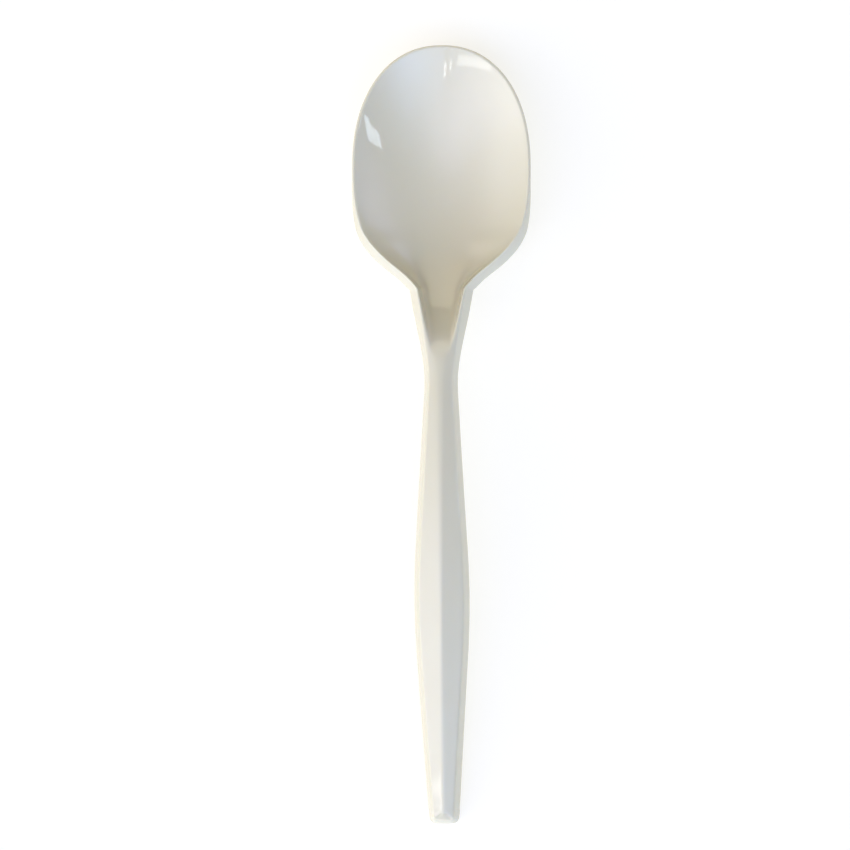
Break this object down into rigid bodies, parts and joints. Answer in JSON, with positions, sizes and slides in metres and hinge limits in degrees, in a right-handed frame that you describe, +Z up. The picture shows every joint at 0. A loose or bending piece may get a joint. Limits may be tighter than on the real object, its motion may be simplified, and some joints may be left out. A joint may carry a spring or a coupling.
{
  "type": "plastic soup spoon",
  "caption": "Moulded ivory plastic soup spoon: oval bowl, skirted shoulders and an arched, ridge-roofed handle with drafted side walls, for eating and serving soup.",
  "frame": {"origin": "bottom centre of the spoon's bounding box, on the table plane it rests on", "axes": "+Y along the spoon towards the tip of the bowl, +Z up out of the hollow side, +X to the right seen from above with the bowl pointing up the page"},
  "size_m": [0.0336, 0.146, 0.013],
  "materials": {
    "ivory_plastic": "moulded gloss"
  },
  "bodies": {
    "root": {"bowl": "ivory_plastic", "throat": "ivory_plastic", "left_shoulder": "ivory_plastic", "right_shoulder": "ivory_plastic", "handle_roof": "ivory_plastic", "left_skirt": "ivory_plastic", "right_skirt": "ivory_plastic", "end_wall": "ivory_plastic", "end_foot": "ivory_plastic"}
  },
  "joints": []
}
